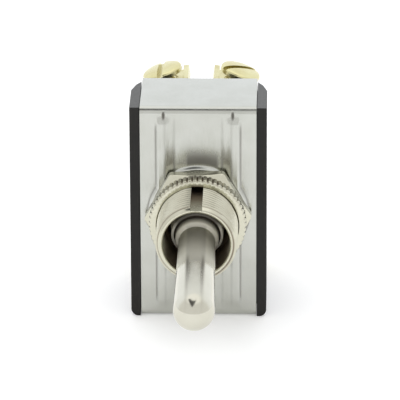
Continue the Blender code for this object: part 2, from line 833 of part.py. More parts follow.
def slotted(blank, top, turn):
    """Cut the driver slot across the head, turned about the screw's axis."""
    long = SCREW_HEAD_RADIUS + 1
    slot = box((-SLOT_HALF, top - 1, -long), (SLOT_HALF, top + SLOT_DEPTH, long))
    return cut(blank, moved(slot, Matrix.Rotation(radians(turn), 4, "Y")))


def build_shell(finish):
    place("base", make_base(), finish["phenolic"])
    place("frame", make_frame(), finish["zinc"])
    place("insulating_liner", make_liner(), finish["fibre"])
    place("bushing", make_bushing(), finish["nickel"])
    place("hex_nut", make_hex_nut(), finish["nickel"])
    place("knurled_nut", make_face_nut(), finish["nickel"])


def build_lever(finish):
    axis = lever_frame()
    place("lever_pin", make_pin(), finish["spring_steel"], PIVOT)
    place("lever", make_lever(), finish["nickel"], parent=axis)
    place("yoke", make_yoke(), finish["nylon"], parent=axis)
    plunger = make_plunger()
    spring = make_spring()
    for side, x in (("left", -POLE_X), ("right", POLE_X)):
        place(f"plunger_{side}", plunger.copy(), finish["brass"], (x, 0.0, 0.0), axis)
        place(f"plunger_spring_{side}", spring.copy(), finish["spring_steel"], (x, 0.0, 0.0), axis)


def build_contacts(finish):
    fixed = rod(BUTTON_RADIUS, 0.0, FIXED_BUTTON_THICK, segments=20)
    for side, x in (("left", -POLE_X), ("right", POLE_X)):
        axis = rocker_frame(side, x)
        place(f"rocker_{side}", make_rocker(), finish["brass"], parent=axis)
        for level, sign in (("upper", 1), ("lower", -1)):
            moving = make_moving_button(sign)
            place(f"moving_contact_{level}_{side}", moving, finish["silver"], parent=axis)
            spot = (x, FIXED_BUTTON_Y, AXIS_Z + sign * FIXED_BUTTON_HEIGHT)
            place(f"fixed_contact_{level}_{side}", fixed.copy(), finish["silver"], spot)


def build_terminals(finish):
    slot_turns = {
        ("left", 1): 4.0,
        ("right", 1): 59.0,
        ("left", 0): 35.0,
        ("right", 0): 70.0,
        ("left", -1): 15.0,
        ("right", -1): 120.0,
    }
    names = {1: "upper", 0: "middle", -1: "lower"}
    for side, sign in (("left", -1), ("right", 1)):
        for level, name in names.items():
            if level == 0:
                tab = middle_terminal(sign)
                spot = (sign * POLE_X, MIDDLE_TAB_Y, AXIS_Z)
                blank, top = make_screw(SMALL_GAP)
            else:
                tab = outer_terminal(sign, level)
                spot = (sign * (POLE_X + SCREW_OUT), SCREW_Y, AXIS_Z + level * OUTER_HEIGHT)
                blank, top = make_screw(SCREW_LIFT)
            place(f"terminal_{name}_{side}", tab, finish["brass"])
            screw = slotted(blank, top, slot_turns[side, level])
            screw.transform(screw_turn(sign, level))
            place(f"screw_{name}_{side}", screw, finish["brass"], spot)


def build():
    clear_scene()
    finish = make_materials()
    build_shell(finish)
    build_lever(finish)
    build_contacts(finish)
    build_terminals(finish)
    bpy.context.view_layer.update()


build()
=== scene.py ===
"""The look of a panel-mount toggle switch: fine meshes, surfaces, light and camera.

Lengths are in millimetres until a mesh is made. +Z runs up the body, and the bushing and the
lever point along -Y. The main places are read from the frame's nodes and joints.
"""

import json
from math import atan2, cos, hypot, pi, radians, sin, sqrt

import bmesh
import bpy
from mathutils import Matrix, Vector


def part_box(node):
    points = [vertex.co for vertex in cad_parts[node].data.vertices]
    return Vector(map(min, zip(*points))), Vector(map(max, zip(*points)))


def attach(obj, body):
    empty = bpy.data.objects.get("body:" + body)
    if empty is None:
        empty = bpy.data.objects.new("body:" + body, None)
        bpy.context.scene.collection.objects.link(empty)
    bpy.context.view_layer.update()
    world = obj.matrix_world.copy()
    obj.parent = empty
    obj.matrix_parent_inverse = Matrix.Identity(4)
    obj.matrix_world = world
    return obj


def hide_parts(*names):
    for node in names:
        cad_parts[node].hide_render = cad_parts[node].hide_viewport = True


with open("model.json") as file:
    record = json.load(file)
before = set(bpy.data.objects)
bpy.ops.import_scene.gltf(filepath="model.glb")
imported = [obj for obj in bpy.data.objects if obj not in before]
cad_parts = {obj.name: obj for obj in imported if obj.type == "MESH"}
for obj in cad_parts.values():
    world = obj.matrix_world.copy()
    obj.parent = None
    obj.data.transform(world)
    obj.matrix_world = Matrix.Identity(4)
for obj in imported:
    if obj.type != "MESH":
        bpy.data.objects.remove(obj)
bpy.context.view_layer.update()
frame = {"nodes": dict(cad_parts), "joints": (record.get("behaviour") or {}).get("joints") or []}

MM = 0.001
INCH = 25.4
THREADS_PER_INCH = 32


def corners_of(node):
    """The low and high corners of a node's box."""
    low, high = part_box(node)
    return low / MM, high / MM


def joint_place(name):
    found = next(joint for joint in frame["joints"] if joint["name"] == name)
    return Vector(found["pos_m"]) / MM


# Places read from the frame. A radius is the reach of a round piece whose axis is at x = 0.
BASE_LOW, BASE_HIGH = corners_of("base")
FRAME_LOW, FRAME_HIGH = corners_of("frame")
BUSHING_LOW, BUSHING_HIGH = corners_of("bushing")
HEX_LOW, HEX_HIGH = corners_of("hex_nut")
FACE_NUT_LOW, FACE_NUT_HIGH = corners_of("knurled_nut")
LINER_BACK_Y = corners_of("insulating_liner")[1].y
PIVOT = joint_place("lever_tilt")
HALF_WIDTH = BASE_HIGH.x
HEIGHT = BASE_HIGH.z
FRONT_Y = BASE_LOW.y
BASE_BACK_Y = BASE_HIGH.y
FRAME_HALF = FRAME_HIGH.x
BACK_Y = FRAME_HIGH.y
AXIS_Z = PIVOT.z
FACE_Y = BUSHING_LOW.y
FLANGE_RADIUS = BUSHING_HIGH.x
FLANGE_BACK_Y = BUSHING_HIGH.y
EMBOSS = FRONT_Y - FRAME_LOW.y
NUT_FLATS = HEX_HIGH.z - HEX_LOW.z
FACE_NUT_RADIUS = FACE_NUT_HIGH.z - AXIS_Z
GAP = 0.3
SMALL_GAP = 0.2
TIGHT_GAP = 0.1
OVERSHOOT = 1.0
TINY = 1e-6

# The folded steel frame and its pressed shape.
SHEET = 0.9
LIP = 1.5
BEND_RADIUS = 1.1
BEND_STEPS = 10
PLATE_ROWS = 224
SHEET_COLUMNS = 128
RIB_INNER_X = 3.3
RIB_CREST_X = 4.95
RIB_SHOULDER_X = 5.85
RIB_OUTER_X = 6.2
RIB_MARGIN = 1.1
RIB_END = 1.7
SEAT_RADIUS = 7.0
SEAT_FOOT_RADIUS = 7.45
DIMPLE_X = 5.05
DIMPLE_HALF = 0.2
DIMPLE_FROM_END = 1.2
DIMPLE_REACH = 0.6
DIMPLE_DEPTH = 0.12
FRAME_HOLE_RADIUS = 6.15
PLATE_FACING = 0.99
BEND_FACING = 0.9

# Painted shade on the plate: in the dimples, at the feet of the ribs and the seat, and on the ribs'
# inner flanks; and a painted dark reflection of the nut above the seat.
DIMPLE_SHADE = 0.8
FOOT_HALF = 0.2
FOOT_SHADE = 0.6
CREASES = (4.87, 3.5)
CREASE_HALF = 0.3
CREASE_SHADE = 0.13
CREASE_NEAR_NUT = 0.35
CREASE_REACH = 11.5
CREASE_FADE = 4.0
REFLECTION_REACH = 10.5
REFLECTION_FADE = 2.2
REFLECTION_X = 0.6
REFLECTION_HALF = 2.6
REFLECTION_EDGE = 0.6
REFLECTION_FOOT = 0.4
REFLECTION_DARKNESS = 0.65

# The bushing and its nuts.
THREAD_RADIUS = 5.95
THREAD_PITCH = INCH / THREADS_PER_INCH
THREAD_DEPTH = 0.4
THREAD_CHAMFER = 0.65
THREAD_CREST = 1.3
THREAD_ROOT = 0.15
THREAD_SHADE = 0.75
ROWS_PER_THREAD = 10
BUSHING_COLUMNS = 132
FACE_BREAK = 0.05
FLANGE_THICK = 1.0
BORE_RADIUS = 4.85
BORE_MOUTH = ((0.0, 0.3), (0.03, 0.12), (0.12, 0.02), (0.2, 0.0))
BORE_DEPTH = 7.0
BORE_SATIN = 0.8
SOCKET_RADIUS = 4.4
KEYWAY_HALF = 0.87
KEYWAY_FLOOR = 5.2
KEYWAY_SHADE = 0.85
LOW_BORE_SHADE = 0.85
DEEP_BORE_SHADE = 0.9
DEEP_BORE_START = 3.5
BORE_SHADE_FADE = 2.0
NUT_HOLE_RADIUS = 6.02
NUT_HOLE_EDGE = 0.08
HEX_TURN = -1.7
HEX_HOLE_EDGE = 0.2
HEX_CORNER = 0.1
HEX_BREAK = 0.05
HEX_CHAMFER_INSET = 0.12
HEX_CHAMFER_SLOPE = 0.577
HEX_COLUMNS = 216
KNURLS = 58
COLUMNS_PER_KNURL = 10
KNURL_DEPTH = 0.2
KNURL_CHAMFER = 0.28

# The lever, by distance from the pivot along the bat.
REST_TILT = 12.0
BALL_RADIUS = 4.05
NECK_RADIUS = 3.8
NECK_END = 3.7
COLLAR_RADIUS = 3.15
COLLAR_END = 4.9
GROOVE_RADIUS = 3.4
BAT_START = 5.4
BAT_BASE_RADIUS = 2.65
BAT_TIP_RADIUS = 3.0
BAT_LENGTH = 25.2
ARM_RADIUS = 1.6
ARM_END = 8.6
ARM_EDGE = 0.3
NECK_EDGE = 0.1
COLLAR_EDGE = 0.05
LEVER_SEGMENTS = 96
PIN_HOLE_RADIUS = 1.0

# The lever's plating: thin and dull at the neck, with a painted pale sheen there; painted shade and
# a painted dark reflection of the bore at the neck; and a painted dark reflection band with two
# darker lines along the bat.
NECK_SHADE = 0.8
NECK_SATIN_AND_SHEEN = 1.8
SATIN_END = 15.0
SATIN_FADE = 3.0
BAND_HALF = 1.6
BAND_END = 25.0
BAND_FADE = 10.0
BAND_SHADE = 0.3
BAND_LINE = 1.5
BAND_LINE_X = 1.1
BAND_LINE_HALF = 0.35
BAND_LINE_START = 11.5
BAND_LINE_FADE = 3.0
BAND_EDGE = 0.4

# The moulded base.
STRIP_INNER_X = FRAME_HALF + TIGHT_GAP
STRIP_FOOT_ROUND = 1.1
CHAMFER_START_Y = 1.0
SHOULDER_X = 9.35
SHOULDER_Y = 3.3
STRIP_BACK_Y = 4.6
MIDDLE_BACK_Y = 4.3
BASE_FRONT_Y = LINER_BACK_Y + GAP
REAR_START_Y = 0.0
FLOOR_Y = 6.0
CHAMBER_OUTER_X = 7.9
CHAMBER_HALF_Z = 13.9
BARRIER_HALF_X = 0.6
BARRIER_FRONT_Y = 1.6
BASE_EDGE = 0.16

# The terminals and their screws.
POLE_X = 5.0
OUTER_HEIGHT = 13.1
MIDDLE_STEM_HEIGHT = -2.9
MIDDLE_TAB_Y = 13.0
TERMINAL_SHEET = 0.9
STEM_WIDTH = 4.0
SCREW_Y = 13.5
SCREW_OUT = 0.3
SCREW_TILT = 18.0
SCREW_LIFT = 0.9
SCREW_HEAD_RADIUS = 3.0
SCREW_HEAD = 1.25
SCREW_DOME = 0.46
SCREW_HEAD_EDGE = 0.08
SCREW_RADIUS = 1.7
SCREW_LENGTH = 3.6
SCREW_PITCH = INCH / THREADS_PER_INCH
SCREW_THREAD = 0.3
ROWS_PER_SCREW_THREAD = 9
SCREW_TIP = 0.4
SCREW_EDGE = 0.05
SCREW_SEGMENTS = 64
SLOT_HALF = 0.42
SLOT_DEPTH = 0.7
SLOT_DIRT = 0.15
SLOT_TURNS = {
    ("left", 1): 4.0,
    ("right", 1): 59.0,
    ("left", 0): 35.0,
    ("right", 0): 70.0,
    ("left", -1): 15.0,
    ("right", -1): 120.0,
}


# Surfaces.

DARK_ROUGHNESS = 0.3
SATIN_ROUGHNESS = 0.35
SATIN_METAL = -0.35
# The pale colour of the painted sheen on the lever's ball, neck and collar.
SHEEN_COLOUR = (0.98, 0.95, 0.86)

# How fine each kind of noise is, in features to the millimetre.
CLOUDS = 0.35
WEAR = 1.6
GRAIN = 3.0
FLOOR_CLOUDS = 0.02


def node(tree, kind, inputs=None, **settings):
    """Add a node; inputs are sockets' values, or other nodes' outputs to link."""
    made = tree.nodes.new(kind)
    for name, value in settings.items():
        setattr(made, name, value)
    for name, value in (inputs or {}).items():
        if isinstance(value, bpy.types.NodeSocket):
            tree.links.new(value, made.inputs[name])
        else:
            made.inputs[name].default_value = value
    return made


def place_mm(tree, stretch=(1.0, 1.0, 1.0)):
    """The point in the row frame, in millimetres times stretch."""
    source = node(tree, "ShaderNodeTexCoord")
    scale = tuple(value / MM for value in stretch)
    inputs = {"Vector": source.outputs["Object"], "Scale": scale}
    return node(tree, "ShaderNodeMapping", inputs).outputs["Vector"]


def noise(tree, scale, detail=3.0, stretch=(1.0, 1.0, 1.0)):
    """Soft noise with about scale features to the millimetre."""
    inputs = {"Vector": place_mm(tree, stretch), "Scale": scale, "Detail": detail}
    return node(tree, "ShaderNodeTexNoise", inputs).outputs["Fac"]


def ranged(tree, value, low, high, start=0.35, end=0.65):
    """Go from low to high as a value goes from start to end."""
    inputs = {"Value": value, "From Min": start, "From Max": end, "To Min": low, "To Max": high}
    return node(tree, "ShaderNodeMapRange", inputs, clamp=True).outputs["Result"]


def calculated(tree, operation, *values):
    """A sum or another operation on numbers and outputs."""
    return node(tree, "ShaderNodeMath", dict(enumerate(values)), operation=operation).outputs[0]


def blended(tree, factor, first, second):
    """Mix two colours, each a colour or an output."""
    made = node(tree, "ShaderNodeMix", data_type="RGBA")
    tree.links.new(factor, made.inputs[0])
    for index, value in ((6, first), (7, second)):
        if isinstance(value, bpy.types.NodeSocket):
            tree.links.new(value, made.inputs[index])
        else:
            made.inputs[index].default_value = (*value, 1.0)
    return made.outputs[2]


def bumped(tree, height, distance):
    """Surface relief, distance millimetres deep."""
    inputs = {"Height": height, "Distance": distance * MM, "Strength": 1.0}
    return node(tree, "ShaderNodeBump", inputs).outputs["Normal"]


def shader_of(name):
    made = bpy.data.materials.new(name)
    made.use_nodes = True
    tree = made.node_tree
    return made, tree, tree.nodes["Principled BSDF"]


def metal(name, pale, deep, roughness, grain, dark_colour=None, depth=0.004):
    """A plated or bare metal: slow colour change and fine grain.

    With a dark colour it also reads the mesh's layers. Where the darkening layer is, that colour
    is mixed in: painted shade on most pieces, and tarnish on the screws. Where the satin layer is,
    the plating is thin and dull, and over 1 a pale sheen is painted into its colour.
    """
    made, tree, shader = shader_of(name)
    colour = blended(tree, ranged(tree, noise(tree, CLOUDS, 4.0), 0.0, 1.0), pale, deep)
    low, high = roughness
    rough = ranged(tree, noise(tree, WEAR, 5.0, grain), low, high)
    if dark_colour is not None:
        darkening = node(tree, "ShaderNodeAttribute", attribute_name="darkness").outputs["Fac"]
        satin = node(tree, "ShaderNodeAttribute", attribute_name="satin").outputs["Fac"]
        # Over 1 the satin layer paints a pale sheen into the colour; then the darkening layer mixes
        # in painted shade, and tarnish on the screws.
        colour = blended(tree, calculated(tree, "SUBTRACT", satin, 1.0), colour, SHEEN_COLOUR)
        colour = blended(tree, darkening, colour, dark_colour)
        rough = calculated(tree, "MULTIPLY_ADD", darkening, DARK_ROUGHNESS, rough)
        rough = calculated(tree, "MULTIPLY_ADD", satin, SATIN_ROUGHNESS, rough)
    tree.links.new(colour, shader.inputs["Base Color"])
    tree.links.new(rough, shader.inputs["Roughness"])
    if dark_colour is None:
        shader.inputs["Metallic"].default_value = 1.0
    else:
        share = calculated(tree, "MULTIPLY_ADD", satin, SATIN_METAL, 1.0)
        tree.links.new(share, shader.inputs["Metallic"])
    tree.links.new(bumped(tree, noise(tree, GRAIN, 4.0, grain), depth), shader.inputs["Normal"])
    return made


def moulded(name, pale, deep, roughness, coarse, depth, gloss=0.5, top_sheen=None):
    """A moulded plastic or fibre: mottled, faintly textured, with any painted sheen lightening what
    faces up.
    """
    made, tree, shader = shader_of(name)
    colour = blended(tree, ranged(tree, noise(tree, coarse, 6.0), 0.0, 1.0), pale, deep)
    if top_sheen is not None:
        # A painted sheen: the faces that look up are painted lighter.
        facing = node(tree, "ShaderNodeNewGeometry").outputs["Normal"]
        upward = node(tree, "ShaderNodeSeparateXYZ", {"Vector": facing}).outputs["Z"]
        colour = blended(tree, ranged(tree, upward, 0.0, 1.0, 0.3, 0.95), colour, top_sheen)
    low, high = roughness
    rough = ranged(tree, noise(tree, coarse * 2.3, 4.0), low, high)
    tree.links.new(colour, shader.inputs["Base Color"])
    tree.links.new(rough, shader.inputs["Roughness"])
    shader.inputs["Specular IOR Level"].default_value = gloss
    tree.links.new(bumped(tree, noise(tree, coarse * 6.0, 3.0), depth), shader.inputs["Normal"])
    return made


def make_surfaces():
    """Every surface by name: pale and deep colour, range of roughness, then grain or coarseness."""
    even = (1.0, 1.0, 1.0)
    upright = (6.0, 1.0, 0.35)
    # The colour of painted shade on the zinc and the lever, of brown painted shade on the bushing
    # and the nuts, and of the screws' tarnish; and the painted sheen on the phenolic's upward faces.
    darkness = (0.045, 0.035, 0.025)
    brown_shade = (0.11, 0.07, 0.04)
    tarnish = (0.2, 0.13, 0.03)
    top_sheen = (0.055, 0.054, 0.05)
    return {
        "phenolic": moulded(
            "phenolic",
            (0.0085, 0.0075, 0.0055),
            (0.006, 0.0055, 0.004),
            (0.3, 0.42),
            coarse=1.2,
            depth=0.003,
            gloss=0.3,
            top_sheen=top_sheen,
        ),
        "zinc_plate": metal(
            "zinc_plate",
            (0.525, 0.53, 0.49),
            (0.495, 0.50, 0.457),
            (0.16, 0.26),
            upright,
            dark_colour=darkness,
            depth=0.0008,
        ),
        "nickel_plate": metal(
            "nickel_plate",
            (0.60, 0.585, 0.475),
            (0.55, 0.535, 0.43),
            (0.12, 0.22),
            even,
            dark_colour=brown_shade,
            depth=0.001,
        ),
        "nickel_bat": metal(
            "nickel_bat",
            (0.61, 0.595, 0.51),
            (0.58, 0.565, 0.48),
            (0.09, 0.16),
            even,
            dark_colour=darkness,
            depth=0.0005,
        ),
        "terminal_brass": metal(
            "terminal_brass", (0.66, 0.62, 0.35), (0.56, 0.5, 0.25), (0.18, 0.3), upright
        ),
        "screw_brass": metal(
            "screw_brass", (0.67, 0.63, 0.36), (0.6, 0.54, 0.28), (0.14, 0.26), even, dark_colour=tarnish
        ),
        "contact_brass": metal(
            "contact_brass", (0.72, 0.58, 0.28), (0.6, 0.45, 0.2), (0.25, 0.4), even
        ),
        "silver": metal("silver", (0.85, 0.85, 0.82), (0.75, 0.75, 0.72), (0.2, 0.32), even),
        "pin_steel": metal("pin_steel", (0.5, 0.5, 0.5), (0.42, 0.42, 0.42), (0.22, 0.35), even),
        "spring_steel": metal("spring_steel", (0.4, 0.4, 0.4), (0.3, 0.3, 0.3), (0.25, 0.4), even),
        "nylon": moulded("nylon", (0.72, 0.7, 0.62), (0.66, 0.63, 0.55), (0.4, 0.55), 0.8, 0.004),
        "fibre": moulded("fibre", (0.3, 0.16, 0.08), (0.2, 0.1, 0.05), (0.7, 0.9), 2.5, 0.02),
    }


# Mesh helpers.


def solid(points, faces, name="solid"):
    """A mesh in metres from points in millimetres, with its faces turned outwards."""
    bm = bmesh.new()
    verts = [bm.verts.new(Vector(point) * MM) for point in points]
    for face in faces:
        bm.faces.new([verts[index] for index in face])
    mesh = bpy.data.meshes.new(name)
    bmesh.ops.recalc_face_normals(bm, faces=bm.faces)
    bm.to_mesh(mesh)
    bm.free()
    return mesh


def merge_doubles(mesh):
    """Join points that share a place, and drop the faces that this leaves without area."""
    bm = bmesh.new()
    bm.from_mesh(mesh)
    bmesh.ops.remove_doubles(bm, verts=bm.verts, dist=1e-7)
    bmesh.ops.dissolve_degenerate(bm, edges=bm.edges, dist=1e-8)
    bmesh.ops.recalc_face_normals(bm, faces=bm.faces)
    bm.to_mesh(mesh)
    bm.free()


def set_layer(mesh, values, name="darkness"):
    """Store a value for each point, for the surface to read."""
    layer = mesh.attributes.new(name, "FLOAT", "POINT")
    layer.data.foreach_set("value", values)


def piece(name, mesh, slot_name, body, smooth=35.0, bevel=0.0):
    """Show a mesh as the piece that stands for the CAD node of the same name."""
    mesh.name = name
    mesh.materials.clear()
    mesh.materials.append(surfaces[slot_name])
    mesh.shade_smooth()
    mesh.set_sharp_from_angle(angle=radians(smooth))
    made = bpy.data.objects.new("fine_" + name, mesh)
    bpy.context.scene.collection.objects.link(made)
    if bevel > 0.0:
        round_edges(made, bevel)
    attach(made, body)
    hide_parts(name)


def round_edges(item, width):
    """Round an object's sharp edges, to a width in millimetres."""
    change = item.modifiers.new("rounding", "BEVEL")
    change.width = width * MM
    change.segments = 3
    change.limit_method = "ANGLE"
    change.angle_limit = radians(30.0)


def combined(mesh, other, operation):
    """A new mesh from two: their difference, union or intersection."""
    pair = []
    for part in (mesh, other):
        item = bpy.data.objects.new("temporary", part)
        bpy.context.scene.collection.objects.link(item)
        pair.append(item)
    target, tool = pair
    change = target.modifiers.new("change", "BOOLEAN")
    change.operation = operation
    change.solver = "EXACT"
    change.object = tool
    graph = bpy.context.evaluated_depsgraph_get()
    result = bpy.data.meshes.new_from_object(target.evaluated_get(graph))
    for item in pair:
        bpy.data.objects.remove(item, do_unlink=True)
    return result


def cut(mesh, *tools):
    for tool in tools:
        mesh = combined(mesh, tool, "DIFFERENCE")
    return mesh


def join(mesh, *others):
    for other in others:
        mesh = combined(mesh, other, "UNION")
    return mesh


def box(low, high):
    x, y, z = zip(low, high)
    points = [(x[i & 1], y[i >> 1 & 1], z[i >> 2]) for i in range(8)]
    faces = [(0, 1, 3, 2), (4, 6, 7, 5), (0, 4, 5, 1), (2, 3, 7, 6), (0, 2, 6, 4), (1, 5, 7, 3)]
    return solid(points, faces, "box")


def prism(outline, low, high, along):
    """The solid that an outline makes when it is drawn out from low to high along an axis."""
    points = []
    for level in (low, high):
        for point in outline:
            corner = list(point)
            corner.insert("XYZ".index(along), level)
            points.append(corner)
    count = len(outline)
    faces = [tuple(range(count)), tuple(range(count, 2 * count))]
    for step in range(count):
        after = (step + 1) % count
        faces.append((step, after, count + after, count + step))
    return solid(points, faces, "prism")


def turned(profile, segments, reach=None):
    """A solid turned about the Y axis from (radius, y) points that start and end on it.

    reach(angle, radius, y) may return another radius, for a thread.
    """
    points = []
    rings = []
    for radius, y in profile:
        if radius < TINY:
            rings.append([len(points)])
            points.append((0.0, y, 0.0))
            continue
        ring = []
        for step in range(segments):
            angle = 2 * pi * step / segments
            out = radius if reach is None else reach(angle, radius, y)
            ring.append(len(points))
            points.append((out * sin(angle), y, out * cos(angle)))
        rings.append(ring)
    faces = []
    for first, second in zip(rings, rings[1:]):
        for step in range(segments):
            after = (step + 1) % segments
            if len(first) == 1:
                faces.append((first[0], second[step], second[after]))
            elif len(second) == 1:
                faces.append((second[0], first[after], first[step]))
            else:
                faces.append((first[step], first[after], second[after], second[step]))
    return solid(points, faces)


def ring_faces(rows, columns):
    """Faces of a grid of points that closes on itself both ways, as a ring's surface does."""
    faces = []
    for row in range(rows):
        here = row * columns
        below = (row + 1) % rows * columns
        for column in range(columns):
            after = (column + 1) % columns
            faces.append((here + column, here + after, below + after, below + column))
    return faces


def ease(value):
    """A smooth step from 0 to 1."""
    value = min(max(value, 0.0), 1.0)
    return value * value * (3.0 - 2.0 * value)


def thread_cut(angle, y, pitch, depth):
    """How deep a screw thread is cut at a point, with rounded crests and roots."""
    turn = (y / pitch - angle / (2 * pi)) % 1.0
    return depth * ease(abs(2.0 * turn - 1.0) * THREAD_CREST - THREAD_ROOT)


# The steel frame.


def pressing(x, z):
    """How far the plate is pressed forward at a point, and how much painted shade and painted
    reflection darken it there.
    """
    across = abs(x)
    outer = ease((RIB_OUTER_X - across) / (RIB_OUTER_X - RIB_SHOULDER_X))
    inner = ease((across - RIB_INNER_X) / (RIB_CREST_X - RIB_INNER_X))
    from_end = min(z, HEIGHT - z)
    rib = outer * inner * ease((from_end - RIB_MARGIN) / RIB_END)
    reach = hypot(x, z - AXIS_Z)
    seat = ease((SEAT_FOOT_RADIUS - reach) / (SEAT_FOOT_RADIUS - SEAT_RADIUS))
    lift = EMBOSS * max(rib, seat)
    along = (HEIGHT - z - DIMPLE_FROM_END) / DIMPLE_REACH
    dimple = hypot((across - DIMPLE_X) / DIMPLE_HALF, along)
    # Painted shade in the dimples, at the feet and along the creases, and a painted dark reflection
    # of the nut above the seat.
    darkening = [
        DIMPLE_SHADE * ease(1.6 - dimple),
        rib_foot(across, from_end, reach),
        seat_foot(across, reach),
        crease(across, from_end, reach),
        nut_reflection(x, z, reach),
    ]
    return lift - DIMPLE_DEPTH * ease(1.4 - dimple), max(darkening)


def rib_foot(across, from_end, reach):
    """Painted shade in the sharp corner along a rib's outer side, where it stands clear of the seat.
    """
    line = ease(1.0 - abs(across - RIB_OUTER_X) / FOOT_HALF)
    clear = ease((reach - SEAT_FOOT_RADIUS) / FOOT_HALF)
    return FOOT_SHADE * line * clear * ease((from_end - RIB_MARGIN - RIB_END) / RIB_END + 0.5)


def seat_foot(across, reach):
    """Painted shade in the corner round the seat, outside the ribs."""
    line = ease(1.0 - abs(reach - SEAT_FOOT_RADIUS) / FOOT_HALF)
    return FOOT_SHADE * line * ease((across - RIB_OUTER_X) / FOOT_HALF + 1.0)


def crease(across, from_end, reach):
    """Faint lines of painted shade along a rib's inner flank, darker towards the nut."""
    line = max(ease(1.0 - abs(across - place) / CREASE_HALF) for place in CREASES)
    near = CREASE_NEAR_NUT * ease((CREASE_REACH - reach) / CREASE_FADE)
    return line * (CREASE_SHADE + near) * ease((from_end - RIB_MARGIN) / RIB_END)


def nut_reflection(x, z, reach):
    """A painted dark reflection of the nut on the plate just above the seat, between the ribs."""
    above = ease((reach - SEAT_FOOT_RADIUS) / REFLECTION_FOOT)
    band = ease((REFLECTION_REACH - reach) / REFLECTION_FADE) * above
    between = ease((REFLECTION_HALF - abs(x - REFLECTION_X)) / REFLECTION_EDGE)
    return REFLECTION_DARKNESS * band * between if z > AXIS_Z else 0.0


def fold_path():
    """Points along the folded sheet: the outer (y, z), and the inward direction."""
    ends = [
        (BACK_Y, LIP),
        (BACK_Y, 0.0),
        (FRONT_Y, 0.0),
        (FRONT_Y, HEIGHT),
        (BACK_Y, HEIGHT),
        (BACK_Y, HEIGHT - LIP),
    ]
    path = [(*ends[0], -1.0, 0.0)]
    for before, corner, after in zip(ends, ends[1:], ends[2:]):
        into = (Vector(corner) - Vector(before)).normalized()
        away = (Vector(after) - Vector(corner)).normalized()
        centre = Vector(corner) + (away - into) * BEND_RADIUS
        for step in range(BEND_STEPS + 1):
            angle = pi / 2 * step / BEND_STEPS
            outward = into * sin(angle) - away * cos(angle)
            path.append((*(centre + outward * BEND_RADIUS), *(-outward)))
        if corner == ends[2]:
            low = BEND_RADIUS
            span = HEIGHT - 2 * BEND_RADIUS
            rows = range(1, PLATE_ROWS)
            path += [(FRONT_Y, low + span * row / PLATE_ROWS, 1.0, 0.0) for row in rows]
    path.append((*ends[-1], -1.0, 0.0))
    return path


def sheet_points():
    """[x, y, z, inward y, inward z] of the folded sheet's outer points, row by row."""
    columns = [FRAME_HALF * (2 * step / SHEET_COLUMNS - 1) for step in range(SHEET_COLUMNS + 1)]
    points = []
    for y, z, inward_y, inward_z in fold_path():
        points += [[x, y, z, inward_y, inward_z] for x in columns]
    return points


def in_hole(point):
    """Whether a point of the plate lies in the bushing's hole."""
    x, _, z, inward_y, _ = point
    return inward_y > PLATE_FACING and hypot(x, z - AXIS_Z) < FRAME_HOLE_RADIUS


def sheet_cells(points):
    """The squares between the points, without those that lie in the bushing's hole."""
    width = SHEET_COLUMNS + 1
    cells = []
    for row in range(len(points) // width - 1):
        for column in range(SHEET_COLUMNS):
            start = row * width + column
            cell = (start, start + 1, start + width + 1, start + width)
            if sum(in_hole(points[index]) for index in cell) < 3:
                cells.append(cell)
    return cells


def open_edges(cells):
    """Edges that only one cell has: the sheet's outline and the hole's rim."""
    uses = {}
    for cell in cells:
        for pair in zip(cell, cell[1:] + cell[:1]):
            key = tuple(sorted(pair))
            uses[key] = uses.get(key, 0) + 1
    return [key for key, count in uses.items() if count == 1]


def round_hole(points, edges):
    """Move the points of the hole's rim onto its circle."""
    for index in {index for edge in edges for index in edge}:
        x, _, z, inward_y, _ = points[index]
        reach = hypot(x, z - AXIS_Z)
        if inward_y > PLATE_FACING and abs(reach - FRAME_HOLE_RADIUS) < 1.0:
            points[index][0] = x * FRAME_HOLE_RADIUS / reach
            points[index][2] = AXIS_Z + (z - AXIS_Z) * FRAME_HOLE_RADIUS / reach


def make_frame():
    """The folded sheet: its outer and inner skins, joined along the open edges."""
    points = sheet_points()
    cells = sheet_cells(points)
    edges = open_edges(cells)
    round_hole(points, edges)
    used = sorted({index for cell in cells for index in cell})
    order = {index: place for place, index in enumerate(used)}
    count = len(used)
    outer = []
    inner = []
    darkness = []
    for index in used:
        x, y, z, inward_y, inward_z = points[index]
        lift, darkening = pressing(x, z) if inward_y > BEND_FACING else (0.0, 0.0)
        lift *= ease((inward_y - BEND_FACING) / (1.0 - BEND_FACING))
        outer.append((x, y - lift, z))
        inner.append((x, y - lift + inward_y * SHEET, z + inward_z * SHEET))
        darkness.append(darkening)
    faces = [tuple(order[index] for index in cell) for cell in cells]
    faces += [tuple(order[index] + count for index in reversed(cell)) for cell in cells]
    faces += [(order[a], order[b], order[b] + count, order[a] + count) for a, b in edges]
    mesh = solid(outer + inner, faces)
    set_layer(mesh, darkness + [0.0] * count)
    piece("frame", mesh, "zinc_plate", "housing", smooth=50.0)


# The moulded base.


def make_strip(side):
    """A side strip: chamfered in two steps at the back, and rounded at its outer lower corner."""
    plan = [
        (STRIP_INNER_X, FRONT_Y),
        (HALF_WIDTH, FRONT_Y),
        (HALF_WIDTH, CHAMFER_START_Y),
        (SHOULDER_X, SHOULDER_Y),
        (STRIP_INNER_X, STRIP_BACK_Y),
    ]
    front = [(STRIP_INNER_X, 0.0), (STRIP_INNER_X, HEIGHT), (HALF_WIDTH, HEIGHT)]
    steps = 10
    for step in range(steps + 1):
        angle = pi / 2 * step / steps
        across = HALF_WIDTH - STRIP_FOOT_ROUND * (1.0 - cos(angle))
        front.append((across, STRIP_FOOT_ROUND * (1.0 - sin(angle))))
    upright = prism([(side * x, y) for x, y in plan], 0.0, HEIGHT, "Z")
    ends = (FRONT_Y - OVERSHOOT, STRIP_BACK_Y + OVERSHOOT)
    through = prism([(side * x, z) for x, z in front], *ends, "Y")
    return combined(upright, through, "INTERSECT")


